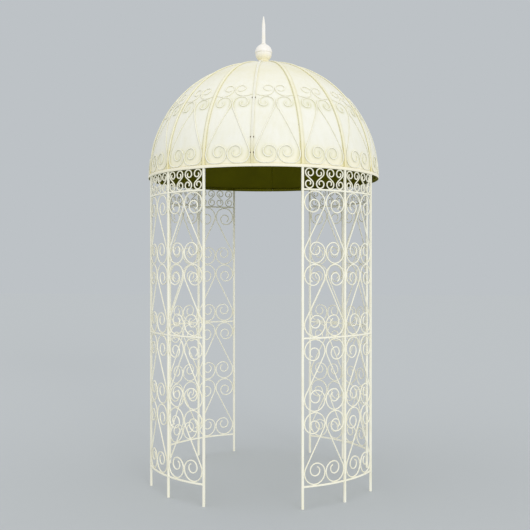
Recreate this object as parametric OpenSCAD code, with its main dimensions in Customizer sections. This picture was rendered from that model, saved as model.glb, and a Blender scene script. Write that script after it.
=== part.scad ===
// Garden bandstand of wrought iron: a round open frame of four curved scrollwork piers under a
// sheet metal dome. Each pier has three square posts with two bays of scrolls between them, and a
// doorway is left open between one pier and the next. All sizes are in mm, +Z is up, and the origin
// is on the ground at the middle. The front doorway faces -Y.

/* [Overall] */
// Outside diameter of the dome at its rim
rim_d = 1800; // [1600:10:2000]
// Height of the dome's lower edge above the ground
rim_z = 2332; // [2250:1:2500]
// Small clearance left where one piece bears on the next
seat = 0.3; // [0.2:0.05:0.5]

/* [Piers] */
// Side of a square post
post_t = 16; // [14:1:20]
// How far the middle of the posts lies inside the dome's rim
post_inset = 11; // [10:0.5:14]
// Side of the square rails
rail_t = 12; // [10:1:14]
// Height of the bottom rail's middle above the ground
bottom_rail_z = 151; // [120:1:200]
// Height of the middle rail's middle above the ground
mid_rail_z = 1164; // [1100:1:1220]
// Height of the frieze rail's middle above the ground
frieze_rail_z = 2182; // [2120:1:2190]
// Width of a scroll bar seen from outside
scroll_w = 8; // [6:0.5:10]
// Depth of a scroll bar, measured outwards
scroll_d = 8; // [6:0.5:10]
// Motifs stacked in each of the two heights of a pier
motifs = 2; // [1:1:2]

/* [Frieze] */
// Scrolls side by side in each bay of the frieze
frieze_count = 4; // [3:1:5]
// Width of a frieze scroll as a share of its own space
frieze_fill = 0.8; // [0.7:0.01:0.9]
// Bar width of a frieze scroll
frieze_w = 8; // [6:0.5:9]

/* [Rim] */
// Height of the angle iron hoop at the dome's foot
rim_h = 20; // [16:1:26]
// Thickness of the hoop's two legs
rim_leg = 4; // [3:0.5:5]

/* [Dome] */
// How far the sheet lies inside the ribs' outer line
rib_h = 7; // [5:0.5:9]
// Width of a rib
rib_w = 20; // [16:1:24]
// Thickness of each bar of the double rib at a seam
seam_t = 8; // [6:0.5:10]
// Thickness of the sheet
sheet_t = 3; // [2:0.5:4]
// Width of the scroll bars laid on the dome
relief_w = 8; // [6:0.5:9]
// How far those scroll bars stand off the sheet
relief_h = 5; // [4:0.5:6]
// Radius of the hole in the sheet under the crown plate
crown_hole_r = 36; // [34:1:44]

/* [Finial] */
// Radius of the crown plate
plate_r = 66; // [64:1:76]
// Thickness of the crown plate
plate_t = 5; // [4:0.5:8]
// Radius of the finial ball's upper half
ball_r = 68; // [62:0.5:74]
// How far the upper half stands out over the lower one
ball_lip = 4; // [2:0.5:5]
// Radius of the neck under the ball
neck_r = 39; // [36:1:44]
// Height of the ball's seam above the crown plate
seam_rise = 82; // [76:1:90]
// Length of the spike above the ball
spike_l = 222; // [180:1:260]
// Radius of the spike at its foot
spike_r = 15; // [12:0.5:17]
// Radius of the spike where it starts to narrow
waist_r = 13.5; // [10:0.5:15]
// Radius of the spike at its tip
tip_r = 4.5; // [3.5:0.5:6]

/* [Hidden] */
$fn = 96;
rim_r = rim_d / 2;
post_r = rim_r - post_inset;
bay_deg = 22.5;
// Angle that half a post takes up on the post circle
post_deg = asin((post_t / 2 + seat) / post_r);
pier_top_z = rim_z;
top_rail_h = rim_h - rim_leg - 4;
dome_z = rim_z + rim_h;
sheet_r = rim_r - rib_h;
// Half bay: the flat panel between a post and the middle line of its bay
half_deg = (bay_deg / 2 - post_deg) / 2;
half_mid_deg = post_deg + half_deg;
half_chord = 2 * post_r * sin(half_deg);
panel_r = post_r * (1 + cos(half_deg)) / 2;
panel_w = half_chord - 2 * (seat + scroll_d / 2 * tan(half_mid_deg));
lower_z = bottom_rail_z + rail_t / 2 + seat;
lower_h = (mid_rail_z - bottom_rail_z - rail_t - seat) / motifs;
upper_z = mid_rail_z + rail_t / 2 + seat;
upper_h = (frieze_rail_z - mid_rail_z - rail_t - seat) / motifs;
frieze_z = frieze_rail_z + rail_t / 2 + seat;
frieze_h = pier_top_z - seat - frieze_z;
frieze_step = (bay_deg - 2 * post_deg) / frieze_count;
frieze_pitch = 2 * post_r * sin(frieze_step / 2);
quarter_deg = 90 - 2 * asin(seat / 2 / sheet_r);
// The ribs run inwards to where they would meet, each clear of the next and of the seam bars
seam_half = seam_t + seat / 2;
rib_end_r = 1 + max(
    crown_hole_r,
    (rib_w / 2 + seat) / tan(bay_deg / 2),
    (rib_w / 2 + seat + seam_half * cos(bay_deg)) / sin(bay_deg)
);
plate_z = dome_z + sqrt(pow(rim_r, 2) - pow(rib_end_r, 2)) + seat;
// The upper half is widest a little above the seam, and the bowl under it is a smaller round
crown_arc_z = seam_rise + ball_r * 0.044;
bowl_arc_r = ball_r * 0.835;
bowl_arc_x = ball_r - ball_lip - bowl_arc_r;
bowl_arc_z = seam_rise - ball_r * 0.118;
collar_r = spike_r + 5;
ball_top = crown_arc_z + sqrt(pow(ball_r, 2) - pow(collar_r, 2));

// Points along one bend, without its first point. A bend is [radius, degrees], where a negative
// radius turns right, or [0, length] for a straight.
function bend_points(p, h, b) =
    b[0] == 0
    ? [p + b[1] * [cos(h), sin(h)]]
    : let (n = ceil(b[1] / 18), c = p + b[0] * [-sin(h), cos(h)], s = sign(b[0]))
      [for (k = [1:n]) let (g = h + s * b[1] * k / n) c + b[0] * [sin(g), -cos(g)]];

function bend_turn(b) = b[0] == 0 ? 0 : sign(b[0]) * b[1];

// Points along a chain of bends that starts at p in direction h
function walk(p, h, bends, i = 0) =
    i >= len(bends)
    ? []
    : let (q = bend_points(p, h, bends[i]))
      concat(q, walk(q[len(q) - 1], h + bend_turn(bends[i]), bends, i + 1));

function reversed(v) = [for (i = [len(v) - 1:-1:0]) v[i]];

function span(v, k) = [min([for (p = v) p[k]]), max([for (p = v) p[k]])];

// A path stretched to lie in a box
function fitted(v, x0, x1, y0, y1) =
    let (sx = span(v, 0), sy = span(v, 1))
    [for (p = v) [
        x0 + (p[0] - sx[0]) * (x1 - x0) / (sx[1] - sx[0]),
        y0 + (p[1] - sy[0]) * (y1 - y0) / (sy[1] - sy[0])
    ]];

// Unit direction of a path at point i
function along(v, i) =
    let (d = v[min(i + 1, len(v) - 1)] - v[max(i - 1, 0)])
    d / norm(d);

// Bar width at point i, drawn out to a narrower end over the last few points
function bar_at(v, i, w) =
    w * (0.62 + 0.38 * min(1, min(i, len(v) - 1 - i) / 5));

// Outline of a bar of width w along a path
function outline(v, w) =
    let (
        n = [for (i = [0:len(v) - 1]) let (d = along(v, i)) [-d[1], d[0]] * bar_at(v, i, w) / 2],
        a = [for (i = [0:len(v) - 1]) v[i] + n[i]],
        b = [for (i = [0:len(v) - 1]) v[i] - n[i]]
    )
    concat(a, reversed(b));

// Radius of each bend of a spiral as a share of the big bend before it, and the turn of the last one
pier_winds = [0.84, 0.6, 0.5, 0.43, 0.37];
pier_tail = 70;
frieze_winds = [0.76, 0.58, 0.42];
frieze_tail = 60;

function hundredth(v) = round(v * 100) / 100;

// Scrolls laid on the dome, in mm along the sheet: x is sideways from the middle of a gore, y is up
// from the dome's foot
half_gore = sheet_r * bay_deg / 2 * PI / 180;
gore_k = sheet_r / 893;
big_low_bends = [
    [0, 160], [120, 25], [60, 90], [0, 36], [62, 90], [57, 90], [41, 90], [36, 90], [27, 90], [20, 60]
];
big_top_bends = [[0, 160], [110, 25], [57, 90], [55, 90], [31, 90], [24, 90], [18, 60]];
small_bends = [[93, 43], [66, 90], [37, 90], [28, 90], [30, 90], [18, 70]];
small_foot = 512 * gore_k + relief_w + seat;
// Height angle at which a small scroll is nearest to the rib
small_e = (small_foot + 30) / sheet_r * 180 / PI;

big_raw = concat(
    reversed(walk([0, 0], 245, big_low_bends)),
    [[0, 0]],
    walk([0, 0], 65, big_top_bends)
);
big_path = fitted(
    big_raw,
    -(half_gore - rib_w / 2 - seat - 3 - relief_w / 2),
    -(seat + relief_w / 2),
    relief_w / 2 + 3.5 * gore_k,
    512 * gore_k
);
small_path = fitted(
    walk([0, 0], -43, small_bends),
    -(half_gore * cos(small_e) - rib_w / 2 - seat - 1 - relief_w / 2),
    -(seat + relief_w / 2 + 1),
    small_foot,
    629 * gore_k
);

// Point of the sheet's outer face: x mm sideways and y mm up from the foot, for a gore facing +X
function on_dome(p) =
    let (e = p[1] / sheet_r * 180 / PI, g = p[0] / (sheet_r * cos(e)) * 180 / PI)
    sheet_r * [cos(e) * cos(g), cos(e) * sin(g), sin(e)];

// The same point seen square on from height angle e0
function seen(p, e0) =
    let (q = on_dome(p))
    [q[1], q[2] * cos(e0) - q[0] * sin(e0)];

// Turns a flat drawing to stand upright at angle a, facing outwards
module upright(a, r, z) {
    rotate([0, 0, a])
        translate([r, 0, z])
            rotate([90, 0, 90])
                children();
}

// A curved bar of square or flat section about the middle axis, from angle a0 to a1
module curved_bar(a0, a1, r0, r1, z0, z1) {
    rotate([0, 0, a0])
        rotate_extrude(angle = a1 - a0)
            translate([r0, z0])
                square([r1 - r0, z1 - z0]);
}

module post(a) {
    rotate([0, 0, a])
        translate([post_r - post_t / 2, -post_t / 2, 0])
            cube([post_t, post_t, pier_top_z - seat]);
}

module rail(a, z) {
    curved_bar(
        a + post_deg, a + bay_deg - post_deg,
        post_r - rail_t / 2, post_r + rail_t / 2,
        z - rail_t / 2, z + rail_t / 2
    );
}

// Three posts of a pier whose middle faces angle a
module posts(a) {
    for (k = [-1, 0, 1])
        post(a + k * bay_deg);
}

// Bottom, middle and frieze rails of both bays, and the curved bar that caps the pier
module rails(a) {
    for (k = [-1, 0]) {
        rail(a + k * bay_deg, bottom_rail_z);
        rail(a + k * bay_deg, mid_rail_z);
        rail(a + k * bay_deg, frieze_rail_z);
    }
    curved_bar(
        a - bay_deg - post_deg, a + bay_deg + post_deg,
        post_r - rail_t / 2, rim_r - rim_leg - seat,
        pier_top_z, pier_top_z + top_rail_h
    );
}

// A bent bar w wide and d deep about the middle c, from straight to the right of it through turn
// degrees
module bent_bar(c, r, turn, w, d) {
    translate([c[0], c[1], 0])
        rotate_extrude(angle = turn)
            translate([r - w / 2, -d / 2])
                square([w, d]);
}

// Middles of the bends of a spiral, the first one's middle being c and its radius r
function middles(c, r, radii, k = 0) =
    k >= len(radii)
    ? []
    : let (q = radii[k], u = quarters[k % 4], m = c + (r - q) * u)
      concat([m], middles(m, q, radii, k + 1));

quarters = [[1, 0], [0, -1], [-1, 0], [0, 1]];

// Half of an S scroll: one big bend over the top, then the spiral wound inwards
module half_scroll(a, b, w, d, winds, tail) {
    lean = asin(min(0.95, a / (b - a)));
    radii = [for (t = winds) hundredth(a * t)];
    c = middles([0, b - a], a, radii);
    bent_bar([0, b - a], a, 180 + lean, w, d);
    for (k = [0:len(winds) - 1])
        translate([c[k][0], c[k][1], 0])
            rotate([0, 0, -90 * k])
                mirror([0, 1, 0])
                    bent_bar([0, 0], radii[k], k == len(winds) - 1 ? tail : 90, w, d);
}

// An S scroll of bar w by d that fills a space wd wide and ht high. Its slanting stem touches both
// big bends, and is a hair slimmer and runs a little way into them, so that the three join.
module s_scroll(wd, ht, w, d, winds, tail) {
    a = hundredth((wd - w) / 2);
    b = hundredth((ht - w) / 2);
    lean = asin(min(0.95, a / (b - a)));
    rotate([0, 0, 90 + lean])
        cube([2 * a / tan(lean) + 1, w - 0.04, d - 0.04], center = true);
    for (turn = [0, 180])
        rotate([0, 0, turn])
            half_scroll(a, b, w, d, winds, tail);
}

// One pier scroll of height h with its foot at z, in the half bay whose middle faces angle a
module pier_scroll(a, z, h, flip) {
    upright(a, panel_r, z + h / 2)
        mirror([flip, 0, 0])
            s_scroll(panel_w, h - seat, scroll_w, scroll_d, pier_winds, pier_tail);
}

// All the scrolls of one bay that starts at the post at angle a
module bay_scrolls(a) {
    for (m = [0:motifs - 1]) {
        pier_scroll(a + half_mid_deg, lower_z + m * lower_h, lower_h, 1);
        pier_scroll(a + bay_deg - half_mid_deg, lower_z + m * lower_h, lower_h, 0);
        pier_scroll(a + half_mid_deg, upper_z + m * upper_h, upper_h, 1);
        pier_scroll(a + bay_deg - half_mid_deg, upper_z + m * upper_h, upper_h, 0);
    }
}

// The frieze scrolls of both bays of a pier, every second one turned the other way
module frieze_scrolls(a) {
    for (b = [-1, 0])
        for (k = [0:frieze_count - 1])
            upright(
                a + b * bay_deg + post_deg + (k + 0.5) * frieze_step,
                post_r,
                frieze_z + frieze_h / 2
            )
                mirror([k % 2, 0, 0])
                    s_scroll(
                        frieze_pitch * frieze_fill, frieze_h,
                        frieze_w, scroll_d, frieze_winds, frieze_tail
                    );
}

// Angle iron hoop of one quarter: the outer leg hangs over the pier's cap bar
module rim(a) {
    rotate([0, 0, a - quarter_deg / 2])
        rotate_extrude(angle = quarter_deg)
            polygon([
                [rim_r - rim_leg, rim_z],
                [rim_r, rim_z],
                [rim_r, dome_z - seat],
                [rim_r - 22, dome_z - seat],
                [rim_r - 22, dome_z - seat - rim_leg],
                [rim_r - rim_leg, dome_z - seat - rim_leg]
            ]);
}

// A quarter of the dome's sheet
module sheet(a) {
    translate([0, 0, dome_z])
        rotate([0, 0, a - quarter_deg / 2])
            rotate_extrude(angle = quarter_deg)
                intersection() {
                    difference() {
                        circle(r = sheet_r);
                        circle(r = sheet_r - sheet_t);
                    }
                    translate([crown_hole_r, 0])
                        square([rim_r, rim_r]);
                }
}

// A bar bent over the sheet at angle a, t thick, its middle shifted sideways by off
module meridian_bar(a, t, off) {
    translate([0, 0, dome_z])
        rotate([0, 0, a])
            translate([0, off, 0])
                rotate([90, 0, 0])
                    linear_extrude(height = t, center = true)
                        intersection() {
                            difference() {
                                circle(r = rim_r);
                                circle(r = sheet_r + seat);
                            }
                            translate([rib_end_r, 0])
                                square([rim_r, rim_r]);
                        }
}

// Three ribs over the posts and one bar along each seam
module ribs(a) {
    for (k = [-1, 0, 1])
        meridian_bar(a + k * bay_deg, rib_w, 0);
    meridian_bar(a - 45, seam_t, (seam_t + seat) / 2);
    meridian_bar(a + 45, seam_t, -(seam_t + seat) / 2);
}

// A bar laid on the dome along a path, for a gore facing +X
module relief(v, e0) {
    intersection() {
        rotate([0, -e0, 0])
            rotate([90, 0, 90])
                linear_extrude(height = rim_r + rib_h)
                    polygon([for (p = outline(v, relief_w)) seen(p, e0)]);
        difference() {
            sphere(r = sheet_r + seat + relief_h);
            sphere(r = sheet_r + seat);
        }
    }
}

// The scrolls of one gore: two tall S scrolls and two small C scrolls, mirrored about its middle
module gore_scrolls(a) {
    translate([0, 0, dome_z])
        rotate([0, 0, a])
            for (m = [0, 1])
                mirror([0, m, 0]) {
                    relief(big_path, 17);
                    relief(small_path, 37);
                }
}

module dome_scrolls(a) {
    for (k = [-1.5, -0.5, 0.5, 1.5])
        gore_scrolls(a + k * bay_deg);
}

// The pieces, one module each

module front_right_posts() {
    color("#efe9cf") posts(-45);
}

module rear_right_posts() {
    color("#efe9cf") posts(45);
}

module rear_left_posts() {
    color("#efe9cf") posts(135);
}

module front_left_posts() {
    color("#efe9cf") posts(225);
}

module front_right_rails() {
    color("#efe9cf") rails(-45);
}

module rear_right_rails() {
    color("#efe9cf") rails(45);
}

module rear_left_rails() {
    color("#efe9cf") rails(135);
}

module front_left_rails() {
    color("#efe9cf") rails(225);
}

module front_right_bay_1() {
    color("#f2eccf") bay_scrolls(-67.5);
}

module front_right_bay_2() {
    color("#f2eccf") bay_scrolls(-45);
}

module rear_right_bay_1() {
    color("#f2eccf") bay_scrolls(22.5);
}

module rear_right_bay_2() {
    color("#f2eccf") bay_scrolls(45);
}

module rear_left_bay_1() {
    color("#f2eccf") bay_scrolls(112.5);
}

module rear_left_bay_2() {
    color("#f2eccf") bay_scrolls(135);
}

module front_left_bay_1() {
    color("#f2eccf") bay_scrolls(202.5);
}

module front_left_bay_2() {
    color("#f2eccf") bay_scrolls(225);
}

module front_right_frieze() {
    color("#f2eccf") frieze_scrolls(-45);
}

module rear_right_frieze() {
    color("#f2eccf") frieze_scrolls(45);
}

module rear_left_frieze() {
    color("#f2eccf") frieze_scrolls(135);
}

module front_left_frieze() {
    color("#f2eccf") frieze_scrolls(225);
}

module front_right_rim() {
    color("#f4efd8") rim(-45);
}

module rear_right_rim() {
    color("#f4efd8") rim(45);
}

module rear_left_rim() {
    color("#f4efd8") rim(135);
}

module front_left_rim() {
    color("#f4efd8") rim(225);
}

module front_right_sheet() {
    color("#f1eddc") sheet(-45);
}

module rear_right_sheet() {
    color("#f1eddc") sheet(45);
}

module rear_left_sheet() {
    color("#f1eddc") sheet(135);
}

module front_left_sheet() {
    color("#f1eddc") sheet(225);
}

module front_right_ribs() {
    color("#f4efd8") ribs(-45);
}

module rear_right_ribs() {
    color("#f4efd8") ribs(45);
}

module rear_left_ribs() {
    color("#f4efd8") ribs(135);
}

module front_left_ribs() {
    color("#f4efd8") ribs(225);
}

module front_right_dome_scrolls() {
    color("#f4efd8") dome_scrolls(-45);
}

module rear_right_dome_scrolls() {
    color("#f4efd8") dome_scrolls(45);
}

module rear_left_dome_scrolls() {
    color("#f4efd8") dome_scrolls(135);
}

module front_left_dome_scrolls() {
    color("#f4efd8") dome_scrolls(225);
}

// Round plate over the inner ends of the ribs
module crown_plate() {
    color("#f4efd8")
        translate([0, 0, plate_z])
            cylinder(h = plate_t, r = plate_r);
}

// Ball on its neck: the upper half sits over the lower one like a lid
module finial_ball() {
    color("#f4efd8")
        translate([0, 0, plate_z + plate_t + seat])
            rotate_extrude()
                union() {
                    square([neck_r, seam_rise * 0.34]);
                    arc_part(bowl_arc_x, bowl_arc_z, bowl_arc_r, seam_rise * 0.3, seam_rise);
                    arc_part(0, crown_arc_z, ball_r, seam_rise, ball_top);
                }
}

// The part of a disc about (x, z) that lies right of the middle axis and between two heights
module arc_part(x, z, r, z0, z1) {
    intersection() {
        translate([x, z])
            circle(r = r);
        translate([0, z0])
            square([ball_r + 1, z1 - z0]);
    }
}

// Spear shaped spike with a collar at its foot and a rounded tip
module finial_spike() {
    color("#f4efd8")
        translate([0, 0, plate_z + plate_t + seat + ball_top + seat])
            rotate_extrude()
                intersection() {
                    union() {
                        square([collar_r, 7]);
                        polygon([
                            [0, 0], [spike_r, 0], [waist_r, spike_l * 0.7],
                            [tip_r, spike_l - tip_r], [0, spike_l - tip_r]
                        ]);
                        translate([0, spike_l - tip_r])
                            circle(r = tip_r);
                    }
                    square([spike_r + 10, spike_l + 1]);
                }
}

front_right_posts();
rear_right_posts();
rear_left_posts();
front_left_posts();
front_right_rails();
rear_right_rails();
rear_left_rails();
front_left_rails();
front_right_bay_1();
front_right_bay_2();
rear_right_bay_1();
rear_right_bay_2();
rear_left_bay_1();
rear_left_bay_2();
front_left_bay_1();
front_left_bay_2();
front_right_frieze();
rear_right_frieze();
rear_left_frieze();
front_left_frieze();
front_right_rim();
rear_right_rim();
rear_left_rim();
front_left_rim();
front_right_sheet();
rear_right_sheet();
rear_left_sheet();
front_left_sheet();
front_right_ribs();
rear_right_ribs();
rear_left_ribs();
front_left_ribs();
front_right_dome_scrolls();
rear_right_dome_scrolls();
rear_left_dome_scrolls();
front_left_dome_scrolls();
crown_plate();
finial_ball();
finial_spike();
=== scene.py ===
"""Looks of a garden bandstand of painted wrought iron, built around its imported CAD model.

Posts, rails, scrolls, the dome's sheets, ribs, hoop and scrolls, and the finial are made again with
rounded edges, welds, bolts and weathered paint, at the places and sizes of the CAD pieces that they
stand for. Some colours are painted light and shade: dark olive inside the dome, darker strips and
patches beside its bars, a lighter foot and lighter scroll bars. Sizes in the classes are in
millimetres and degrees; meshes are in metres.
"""

import logging
import math
from collections.abc import Sequence
from dataclasses import dataclass
from enum import Enum

import bpy
import numpy as np
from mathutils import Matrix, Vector, noise


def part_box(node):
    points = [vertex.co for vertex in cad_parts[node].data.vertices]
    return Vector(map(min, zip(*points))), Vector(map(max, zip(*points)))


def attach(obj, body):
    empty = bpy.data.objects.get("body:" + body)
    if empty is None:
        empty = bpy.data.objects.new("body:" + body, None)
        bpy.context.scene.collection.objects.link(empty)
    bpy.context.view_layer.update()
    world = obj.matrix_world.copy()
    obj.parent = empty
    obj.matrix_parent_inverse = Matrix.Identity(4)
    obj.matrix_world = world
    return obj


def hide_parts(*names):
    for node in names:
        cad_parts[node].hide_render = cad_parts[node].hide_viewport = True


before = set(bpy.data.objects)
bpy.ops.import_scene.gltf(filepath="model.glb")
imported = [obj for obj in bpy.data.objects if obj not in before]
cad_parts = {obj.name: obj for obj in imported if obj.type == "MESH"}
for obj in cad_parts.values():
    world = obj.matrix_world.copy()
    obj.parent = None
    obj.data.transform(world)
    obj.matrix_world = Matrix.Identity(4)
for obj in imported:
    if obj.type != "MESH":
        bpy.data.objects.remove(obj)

MM = 0.001
BODY = "root"
LOG = logging.getLogger("bandstand")

# Height of the dome's foot, which is also the middle of its round, in millimetres.
DOME_FOOT = 2352.0

Tree = bpy.types.NodeTree
Socket = bpy.types.NodeSocket
Material = bpy.types.Material
Piece = bpy.types.Object
Numbers = float | np.ndarray


class Quarter(Enum):
    """The four quarters of the bandstand, each with the polar angle of its pier's middle post."""

    FRONT_RIGHT = -45.0
    REAR_RIGHT = 45.0
    REAR_LEFT = 135.0
    FRONT_LEFT = 225.0

    @property
    def label(self) -> str:
        """The quarter's name at the start of its pieces' names."""
        return self.name.lower()


class Slot(Enum):
    """Material slots of the part's record."""

    PIER_FRAME = "pier_frame"
    PIER_SCROLLWORK = "pier_scrollwork"
    DOME_SHEET = "dome_sheet"
    DOME_FRAME = "dome_frame"
    DOME_SCROLLWORK = "dome_scrollwork"
    FINIAL = "finial"


# Node trees and finishes


def linear(code: str) -> tuple[float, float, float, float]:
    """Turns an sRGB colour into Blender's linear one.

    Args:
        code: the colour as #RRGGBB.

    Returns:
        Red, green, blue and a full alpha.
    """
    parts = (int(code[i : i + 2], 16) / 255 for i in (1, 3, 5))
    red, green, blue = (
        v / 12.92 if v <= 0.04045 else ((v + 0.055) / 1.055) ** 2.4 for v in parts
    )
    return red, green, blue, 1.0


def per_metre(size_mm: float) -> float:
    """Scale of a noise pattern whose patches are about size_mm across."""
    return 1000 / size_mm


def add_node(
    tree: Tree, kind: str, feeds: dict[str | int, object] | None = None, **settings: object
) -> bpy.types.Node:
    """Adds one node with its settings, and sets or links its inputs.

    Args:
        tree: the node tree that the node goes into.
        kind: Blender's name for the kind of node.
        feeds: for an input's name or number, its value or the socket that feeds it.
        settings: the node's own properties.

    Returns:
        The new node.
    """
    node = tree.nodes.new(kind)
    for name, value in settings.items():
        setattr(node, name, value)
    for key, value in (feeds or {}).items():
        if isinstance(value, Socket):
            tree.links.new(value, node.inputs[key])
        else:
            node.inputs[key].default_value = value
    return node


def new_material(name: str) -> tuple[Material, Tree]:
    """Makes a material without nodes.

    Args:
        name: its name, after the real finish.

    Returns:
        The material and its empty node tree.
    """
    made = bpy.data.materials.new(name)
    made.use_nodes = True
    made.node_tree.nodes.clear()
    return made, made.node_tree


def end_material(
    tree: Tree, coat: dict[str, object], grain: Socket, grain_depth_mm: float, grain_strength: float
) -> None:
    """Ends a material with its coat and the fine relief of the coat.

    Args:
        tree: the material's nodes.
        coat: the coat's inputs, such as its colour and roughness.
        grain: the pattern that stands out of the coat.
        grain_depth_mm: how far it stands out.
        grain_strength: how strongly it shows.
    """
    relief = add_node(
        tree, "ShaderNodeBump",
        {"Height": grain, "Strength": grain_strength, "Distance": grain_depth_mm * MM},
    )
    shader = add_node(tree, "ShaderNodeBsdfPrincipled", {**coat, "Normal": relief.outputs[0]})
    add_node(tree, "ShaderNodeOutputMaterial", {"Surface": shader.outputs[0]})


@dataclass(frozen=True)
class OilPaint:
    """Brushed cream oil paint on mild steel, yellowed and lightly rusted out of doors.

    It gives a low, soft sheen, broad yellowed patches, thin streaks where rain runs down, and
    small brown specks where the steel comes through. A range holds the pattern values at which a
    layer begins and is full. A speck level is followed by how much it falls for a full share of
    specks.
    """

    name: str
    colour: str
    yellowed: str
    rust: str = "#7d5a34"
    yellow_share: float = 0.5
    yellow_range: tuple[float, float] = (0.16, 0.42)
    patch_mm: float = 140.0
    streak_mm: float = 16.0
    speck_mm: float = 5.0
    speck_share: float = 0.05
    speck_levels: tuple[tuple[float, float], ...] = ((0.80, 2.2), (0.88, 2.0))
    # Streaks and brush marks run downwards, so their pattern is drawn out along Z.
    drawn_out: float = 0.12
    # Coarser than real bristle marks. Their relief is so low that close views hardly show it.
    brush_mm: float = 2.5
    brush_depth_mm: float = 0.12
    brush_strength: float = 0.6
    roughness: float = 0.46
    glossier: float = 0.08
    duller: float = 0.14
    # On the dome's sheet and hoop the foot colour is painted light: lighter and warmer at the foot.
    foot_colour: str | None = None
    foot_share: float = 0.9
    foot_z: float = DOME_FOOT
    foot_reach: float = 200.0
    # Colours marked on the mesh by attributes: real stains, and on the sheet also dust with painted
    # shade.
    stain_and_shade_marks: tuple[tuple[str, str], ...] = ()
    mark_range: tuple[float, float] = (0.35, 0.65)
    least_mark: float = 0.45

    def material(self) -> Material:
        """Builds the paint's material, with each layer of colour over the one before.

        Returns:
            The material, with its pattern on Object coordinates.
        """
        made, tree = new_material(self.name)
        place = add_node(tree, "ShaderNodeTexCoord").outputs["Object"]
        downwards = add_node(
            tree, "ShaderNodeMapping", {"Vector": place, "Scale": (1.0, 1.0, self.drawn_out)}
        ).outputs[0]
        patches, streaks, specks, brush = (
            add_node(
                tree, "ShaderNodeTexNoise",
                {"Vector": where, "Scale": per_metre(size), "Detail": detail, "Roughness": rough},
            ).outputs["Fac"]
            for where, size, detail, rough in (
                (place, self.patch_mm, 4.0, 0.6),
                (downwards, self.streak_mm, 3.0, 0.55),
                (place, self.speck_mm, 2.0, 0.7),
                (downwards, self.brush_mm, 2.0, 0.5),
            )
        )
        both = add_node(tree, "ShaderNodeMath", {0: patches, 1: streaks}, operation="MULTIPLY")
        start, full = self.yellow_range
        aged = add_node(
            tree, "ShaderNodeMapRange",
            {
                "Value": both.outputs[0], "From Min": start, "From Max": full,
                "To Max": self.yellow_share,
            },
        )
        start, full = (level - self.speck_share * fall for level, fall in self.speck_levels)
        bare = add_node(
            tree, "ShaderNodeMapRange", {"Value": specks, "From Min": start, "From Max": full}
        )
        layers = [(aged.outputs[0], self.yellowed)]
        if self.foot_colour is not None:
            layers.append((self.near_foot(tree, place), self.foot_colour))
        for mark, mark_colour in self.stain_and_shade_marks:
            layers.append((self.near_mark(tree, mark, patches), mark_colour))
        layers.append((bare.outputs[0], self.rust))
        coat = linear(self.colour)
        for share, colour in layers:
            coat = add_node(
                tree, "ShaderNodeMix", {"Factor": share, "A": coat, "B": linear(colour)},
                data_type="RGBA",
            ).outputs["Result"]
        dull = add_node(
            tree, "ShaderNodeMapRange",
            {
                "Value": streaks, "To Min": self.roughness - self.glossier,
                "To Max": self.roughness + self.duller,
            },
        )
        end_material(
            tree, {"Base Color": coat, "Roughness": dull.outputs[0]}, brush, self.brush_depth_mm,
            self.brush_strength,
        )
        return made

    def near_foot(self, tree: Tree, place: Socket) -> Socket:
        """How near the foot of the piece the surface point lies.

        Args:
            tree: the material's nodes.
            place: the surface point.

        Returns:
            A share, the most at the foot and none past the foot's reach.
        """
        height = add_node(tree, "ShaderNodeSeparateXYZ", {0: place}).outputs["Z"]
        return add_node(
            tree, "ShaderNodeMapRange",
            {
                "Value": height, "From Min": self.foot_z * MM,
                "From Max": (self.foot_z + self.foot_reach) * MM,
                "To Min": self.foot_share, "To Max": 0.0,
            },
            interpolation_type="SMOOTHSTEP",
        ).outputs[0]

    def near_mark(self, tree: Tree, mark: str, patches: Socket) -> Socket:
        """How strongly the colour marked on the mesh shows at the surface point.

        Args:
            tree: the material's nodes.
            mark: name of the attribute that marks the mesh.
            patches: the broad patches, which make the mark uneven.

        Returns:
            A share, none where the mesh has no such attribute.
        """
        near = add_node(
            tree, "ShaderNodeAttribute", attribute_name=mark, attribute_type="GEOMETRY"
        ).outputs["Fac"]
        start, full = self.mark_range
        uneven = add_node(
            tree, "ShaderNodeMapRange",
            {
                "Value": patches, "From Min": start, "From Max": full,
                "To Min": self.least_mark, "To Max": 1.0,
            },
        ).outputs[0]
        return add_node(
            tree, "ShaderNodeMath", {0: near, 1: uneven}, operation="MULTIPLY", use_clamp=True
        ).outputs[0]


@dataclass(frozen=True)
class InsidePaintedShade:
    """Dark olive painted shade under the dome, where it never gets the sun: matt and blotchy."""

    name: str = "olive_painted_shade_inside"
    colour: str = "#7b7900"
    darker: str = "#5d5c00"
    patch_mm: float = 220.0
    # Coarser than real dust in paint. Its relief is so low that close views hardly show it.
    grain_mm: float = 3.0
    grain_depth_mm: float = 0.2
    grain_strength: float = 0.5
    roughness: float = 0.85
    gloss: float = 0.2

    def material(self) -> Material:
        """Builds the underside's material.

        Returns:
            The material, with its pattern on Object coordinates.
        """
        made, tree = new_material(self.name)
        place = add_node(tree, "ShaderNodeTexCoord").outputs["Object"]
        patches = add_node(
            tree, "ShaderNodeTexNoise",
            {"Vector": place, "Scale": per_metre(self.patch_mm), "Detail": 5.0, "Roughness": 0.6},
        )
        colour = add_node(
            tree, "ShaderNodeMix",
            {"Factor": patches.outputs["Fac"], "A": linear(self.colour), "B": linear(self.darker)},
            data_type="RGBA",
        )
        grain = add_node(
            tree, "ShaderNodeTexNoise", {"Vector": place, "Scale": per_metre(self.grain_mm)}
        )
        coat = {
            "Base Color": colour.outputs["Result"], "Roughness": self.roughness,
            "Specular IOR Level": self.gloss,
        }
        end_material(tree, coat, grain.outputs["Fac"], self.grain_depth_mm, self.grain_strength)
        return made


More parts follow.
